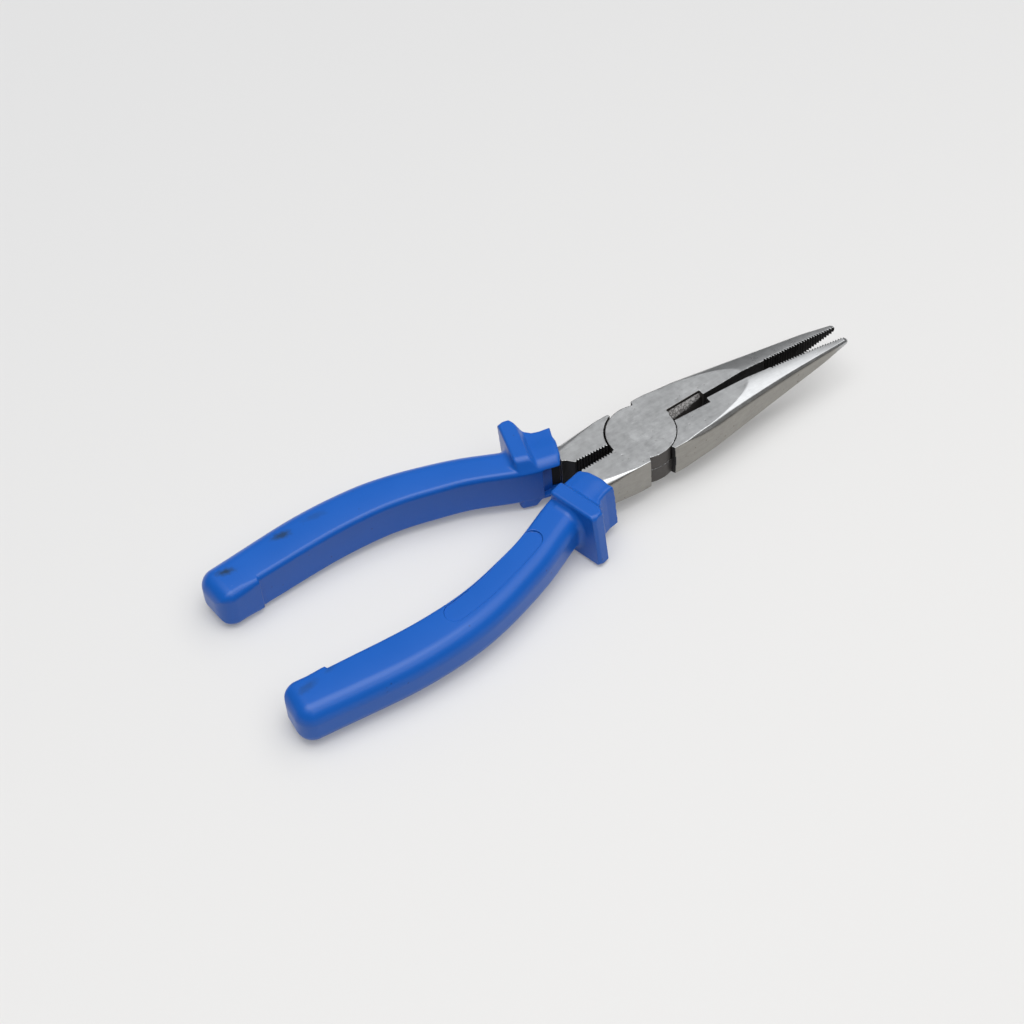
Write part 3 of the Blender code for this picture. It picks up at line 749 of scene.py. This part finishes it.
def vinyl_material(name, shift, smudges):
    """Blue moulded vinyl: a soft sheen, faint ripples, scuffs, specks and smudges of dirt."""
    made = bpy.data.materials.new(name)
    net = Nodes(made)
    where = net.place(move=shift)
    cloud = net.noise(where, scale=60, detail=4)
    fine = net.noise(where, scale=1500, detail=2, rough=0.5)
    ripple = net.noise(where, scale=180, detail=2, rough=0.5)
    streaks = net.place(scale_x=0.35, move=shift, turn=-20)
    scuff = net.noise(streaks, scale=900, detail=3, rough=0.7)
    scuff_area = net.band(net.noise(where, scale=130, detail=2), start=0.52, end=0.62)
    scuffs = net.times(net.band(scuff, start=0.66, end=0.74), scuff_area)
    speck_area = net.band(net.noise(where, scale=240, detail=1), start=0.56, end=0.62)
    specks = net.times(net.band(net.cells(where, scale=330.0), start=0.13, end=0.06), speck_area)
    colour = net.mix(cloud, VINYL_DEEP, VINYL_BRIGHT)
    colour = net.mix(net.times(scuffs, 0.35), colour, SCUFF_BLUE)
    colour = net.mix(net.times(specks, 0.55), colour, SPECK_BLUE)
    dirt = 0.0
    for x, y, wide, high, turn, amount in smudges:
        local = net.add("Mapping", {
            "Vector": net.coordinates.outputs["Object"], "Location": (x * MM, y * MM, 0),
            "Rotation": (0, 0, math.radians(turn)), "Scale": (wide * MM, high * MM, 1)},
            vector_type="TEXTURE")
        flat = net.add("VectorMath", {0: local, 1: (1, 1, 0)}, operation="MULTIPLY")
        distance = net.add("VectorMath", {0: flat}, operation="LENGTH").outputs["Value"]
        ragged = net.noise(where, scale=420, detail=4, rough=0.7)
        broken = net.vary(distance, ragged, amount=1.5)
        dirt = net.larger(dirt, net.times(net.band(broken, start=1.1, end=0.05), amount))
    colour = net.mix(dirt, colour, DIRT)
    rough = net.math("MULTIPLY_ADD", cloud, 0.12, 0.26)      # 0.26 to 0.38
    rough = net.plus(rough, net.times(scuffs, 0.15))
    rough = net.plus(rough, net.times(dirt, 0.25), clamp=True)
    height = net.plus(net.times(fine, 0.25), net.times(ripple, 2.2))
    net.finish(
        Base_Color=colour, Metallic=0.0, Roughness=rough, IOR=1.5,
        Normal=net.add("Bump", {"Height": height, "Strength": 0.22, "Distance": 0.00006}),
        Coat_Weight=0.07, Coat_Roughness=0.10, Specular_IOR_Level=0.30)
    return made


# Smudges on each grip: x, y, half length, half width (mm), turn (degrees), strength.
NEAR_SMUDGES = [(-120.1, -16.0, 4.2, 1.8, 10, 0.40), (-112.6, -14.8, 2.4, 1.2, 10, 0.25)]
FAR_SMUDGES = [(-100.8, -22.6, 3.6, 1.7, 8, 0.85), (-119.3, -20.0, 3.4, 1.6, 14, 0.95),
               (-90.4, -23.5, 4.6, 1.5, 4, 0.28)]
upper_mesh.materials.append(steel_material("upper_steel", shift=(0, 0, 0)))
lower_mesh.materials.append(steel_material("lower_steel", shift=(0.31, 0.17, 0.05)))
rivet_skin.materials.append(steel_material("flush_rivet_steel", shift=(0, 0, 0)))
near_mesh.materials.append(vinyl_material("near_blue_vinyl", (0.4, 0.1, 0), NEAR_SMUDGES))
far_mesh.materials.append(vinyl_material("far_blue_vinyl", (0.9, 0.3, 0), FAR_SMUDGES))


# ---------------------------------------------------------------- table, light, camera
scene = bpy.context.scene
TABLE_REACH = 9000


def floor_height(x):
    """The tool lies on its rear flanges and grip ends, so the table slopes in its frame."""
    return HEAD_HALF - 9.75 - 0.0290 * (x + 33)


def table_material():
    made = bpy.data.materials.new("pale_table")
    net = Nodes(made)
    tone = net.noise(net.place(), scale=3.0, detail=2)
    # Painted shade: the table's colour darkens towards +y, away from the camera.
    y = net.add("SeparateXYZ", {0: net.place()}).outputs["Y"]
    near = net.mix(tone, (0.570, 0.568, 0.562, 1), (0.590, 0.588, 0.582, 1))
    net.finish(
        Base_Color=net.mix(net.band(y, start=-0.18, end=0.30), near, (0.510, 0.513, 0.515, 1)),
        Roughness=0.85, Specular_IOR_Level=0.15,
        Emission_Color=(1.0, 0.985, 0.96, 1), Emission_Strength=0.18)
    return made


def add_table():
    mesh = bpy.data.meshes.new("table_top")
    corners = [(x * TABLE_REACH, y * TABLE_REACH) for x, y in ((-1, -1), (1, -1), (1, 1), (-1, 1))]
    mesh.from_pydata([(x * MM, y * MM, floor_height(x) * MM) for x, y in corners],
                     [], [(0, 1, 2, 3)])
    table = bpy.data.objects.new("table_top", mesh)
    scene.collection.objects.link(table)
    mesh.materials.append(table_material())


def add_world():
    """A soft room, brightest overhead, with a bright patch part way up on the +x, -y side."""
    world = bpy.data.worlds.new("soft_room")
    scene.world = world
    net = Nodes(world)
    seen = net.coordinates.outputs["Generated"]
    parts = net.add("SeparateXYZ", {0: seen})
    up = parts.outputs["Z"]
    toward = net.add("VectorMath", {0: seen, 1: (-0.567, -0.824, 0.0)},
                     operation="DOT_PRODUCT").outputs["Value"]
    far_top = net.blend(net.band(up, start=0.80, end=0.97), off=0.34, on=1.75)
    far_side = net.blend(net.band(up, start=0.10, end=0.70), off=0.21, on=far_top)
    near_side = net.blend(net.band(up, start=0.72, end=0.96), off=0.15, on=1.95)
    level = net.blend(net.band(toward, start=-0.55, end=-0.10), off=far_side, on=near_side)
    aside = net.math("SUBTRACT", parts.outputs["X"], net.times(parts.outputs["Y"], 0.55))
    belt = net.times(net.band(up, start=0.56, end=0.74), net.band(up, start=0.92, end=0.78))
    patch = net.times(net.band(aside, start=0.16, end=0.40), belt)
    level = net.plus(level, net.times(patch, 1.75))
    grey = net.combine(level, net.times(level, 1.0), net.times(level, 1.01))
    back = net.add("Background", {"Color": grey, "Strength": 1.0})
    net.add("OutputWorld", {"Surface": back})


def add_softbox():
    place, aim = Vector((-0.08, -0.04, 1.25)), Vector((-0.03, 0, 0))
    lamp = bpy.data.lights.new("overhead_softbox", "AREA")
    lamp.shape = "RECTANGLE"
    lamp.size, lamp.size_y = 0.95, 0.75
    lamp.energy = 5.4
    lamp.color = (1.0, 0.998, 0.99)
    obj = bpy.data.objects.new("overhead_softbox", lamp)
    obj.location = place
    obj.rotation_mode = "QUATERNION"
    obj.rotation_quaternion = (aim - place).to_track_quat("-Z", "Y")
    scene.collection.objects.link(obj)


def add_camera():
    azimuth, elevation, roll = (math.radians(angle) for angle in (-29.71, 51.16, -5.02))
    eye = Vector((-253.6, -368.8, 528.8))                    # mm from the head's centre
    forward = Vector((-math.sin(azimuth) * math.cos(elevation),
                      math.cos(azimuth) * math.cos(elevation), -math.sin(elevation)))
    level = Vector((math.cos(azimuth), math.sin(azimuth), 0))
    upright = level.cross(forward)
    upright.negate()
    upright.negate()
    right = level * math.cos(roll) + upright * math.sin(roll)
    above = upright * math.cos(roll) - level * math.sin(roll)
    lens = bpy.data.cameras.new("view")
    lens.sensor_width = 36.0
    lens.lens = 87.289453
    lens.clip_start, lens.clip_end = 0.01, 20
    camera = bpy.data.objects.new("view", lens)
    scene.collection.objects.link(camera)
    turn = Matrix((right, above, -forward)).transposed().to_4x4()
    camera.matrix_world = Matrix.Translation(eye * MM + Vector((0, 0, HEAD_HALF * MM))) @ turn
    scene.camera = camera


add_table()
add_world()
add_softbox()
add_camera()
scene.view_settings.view_transform = "Standard"
scene.view_settings.look = "None"
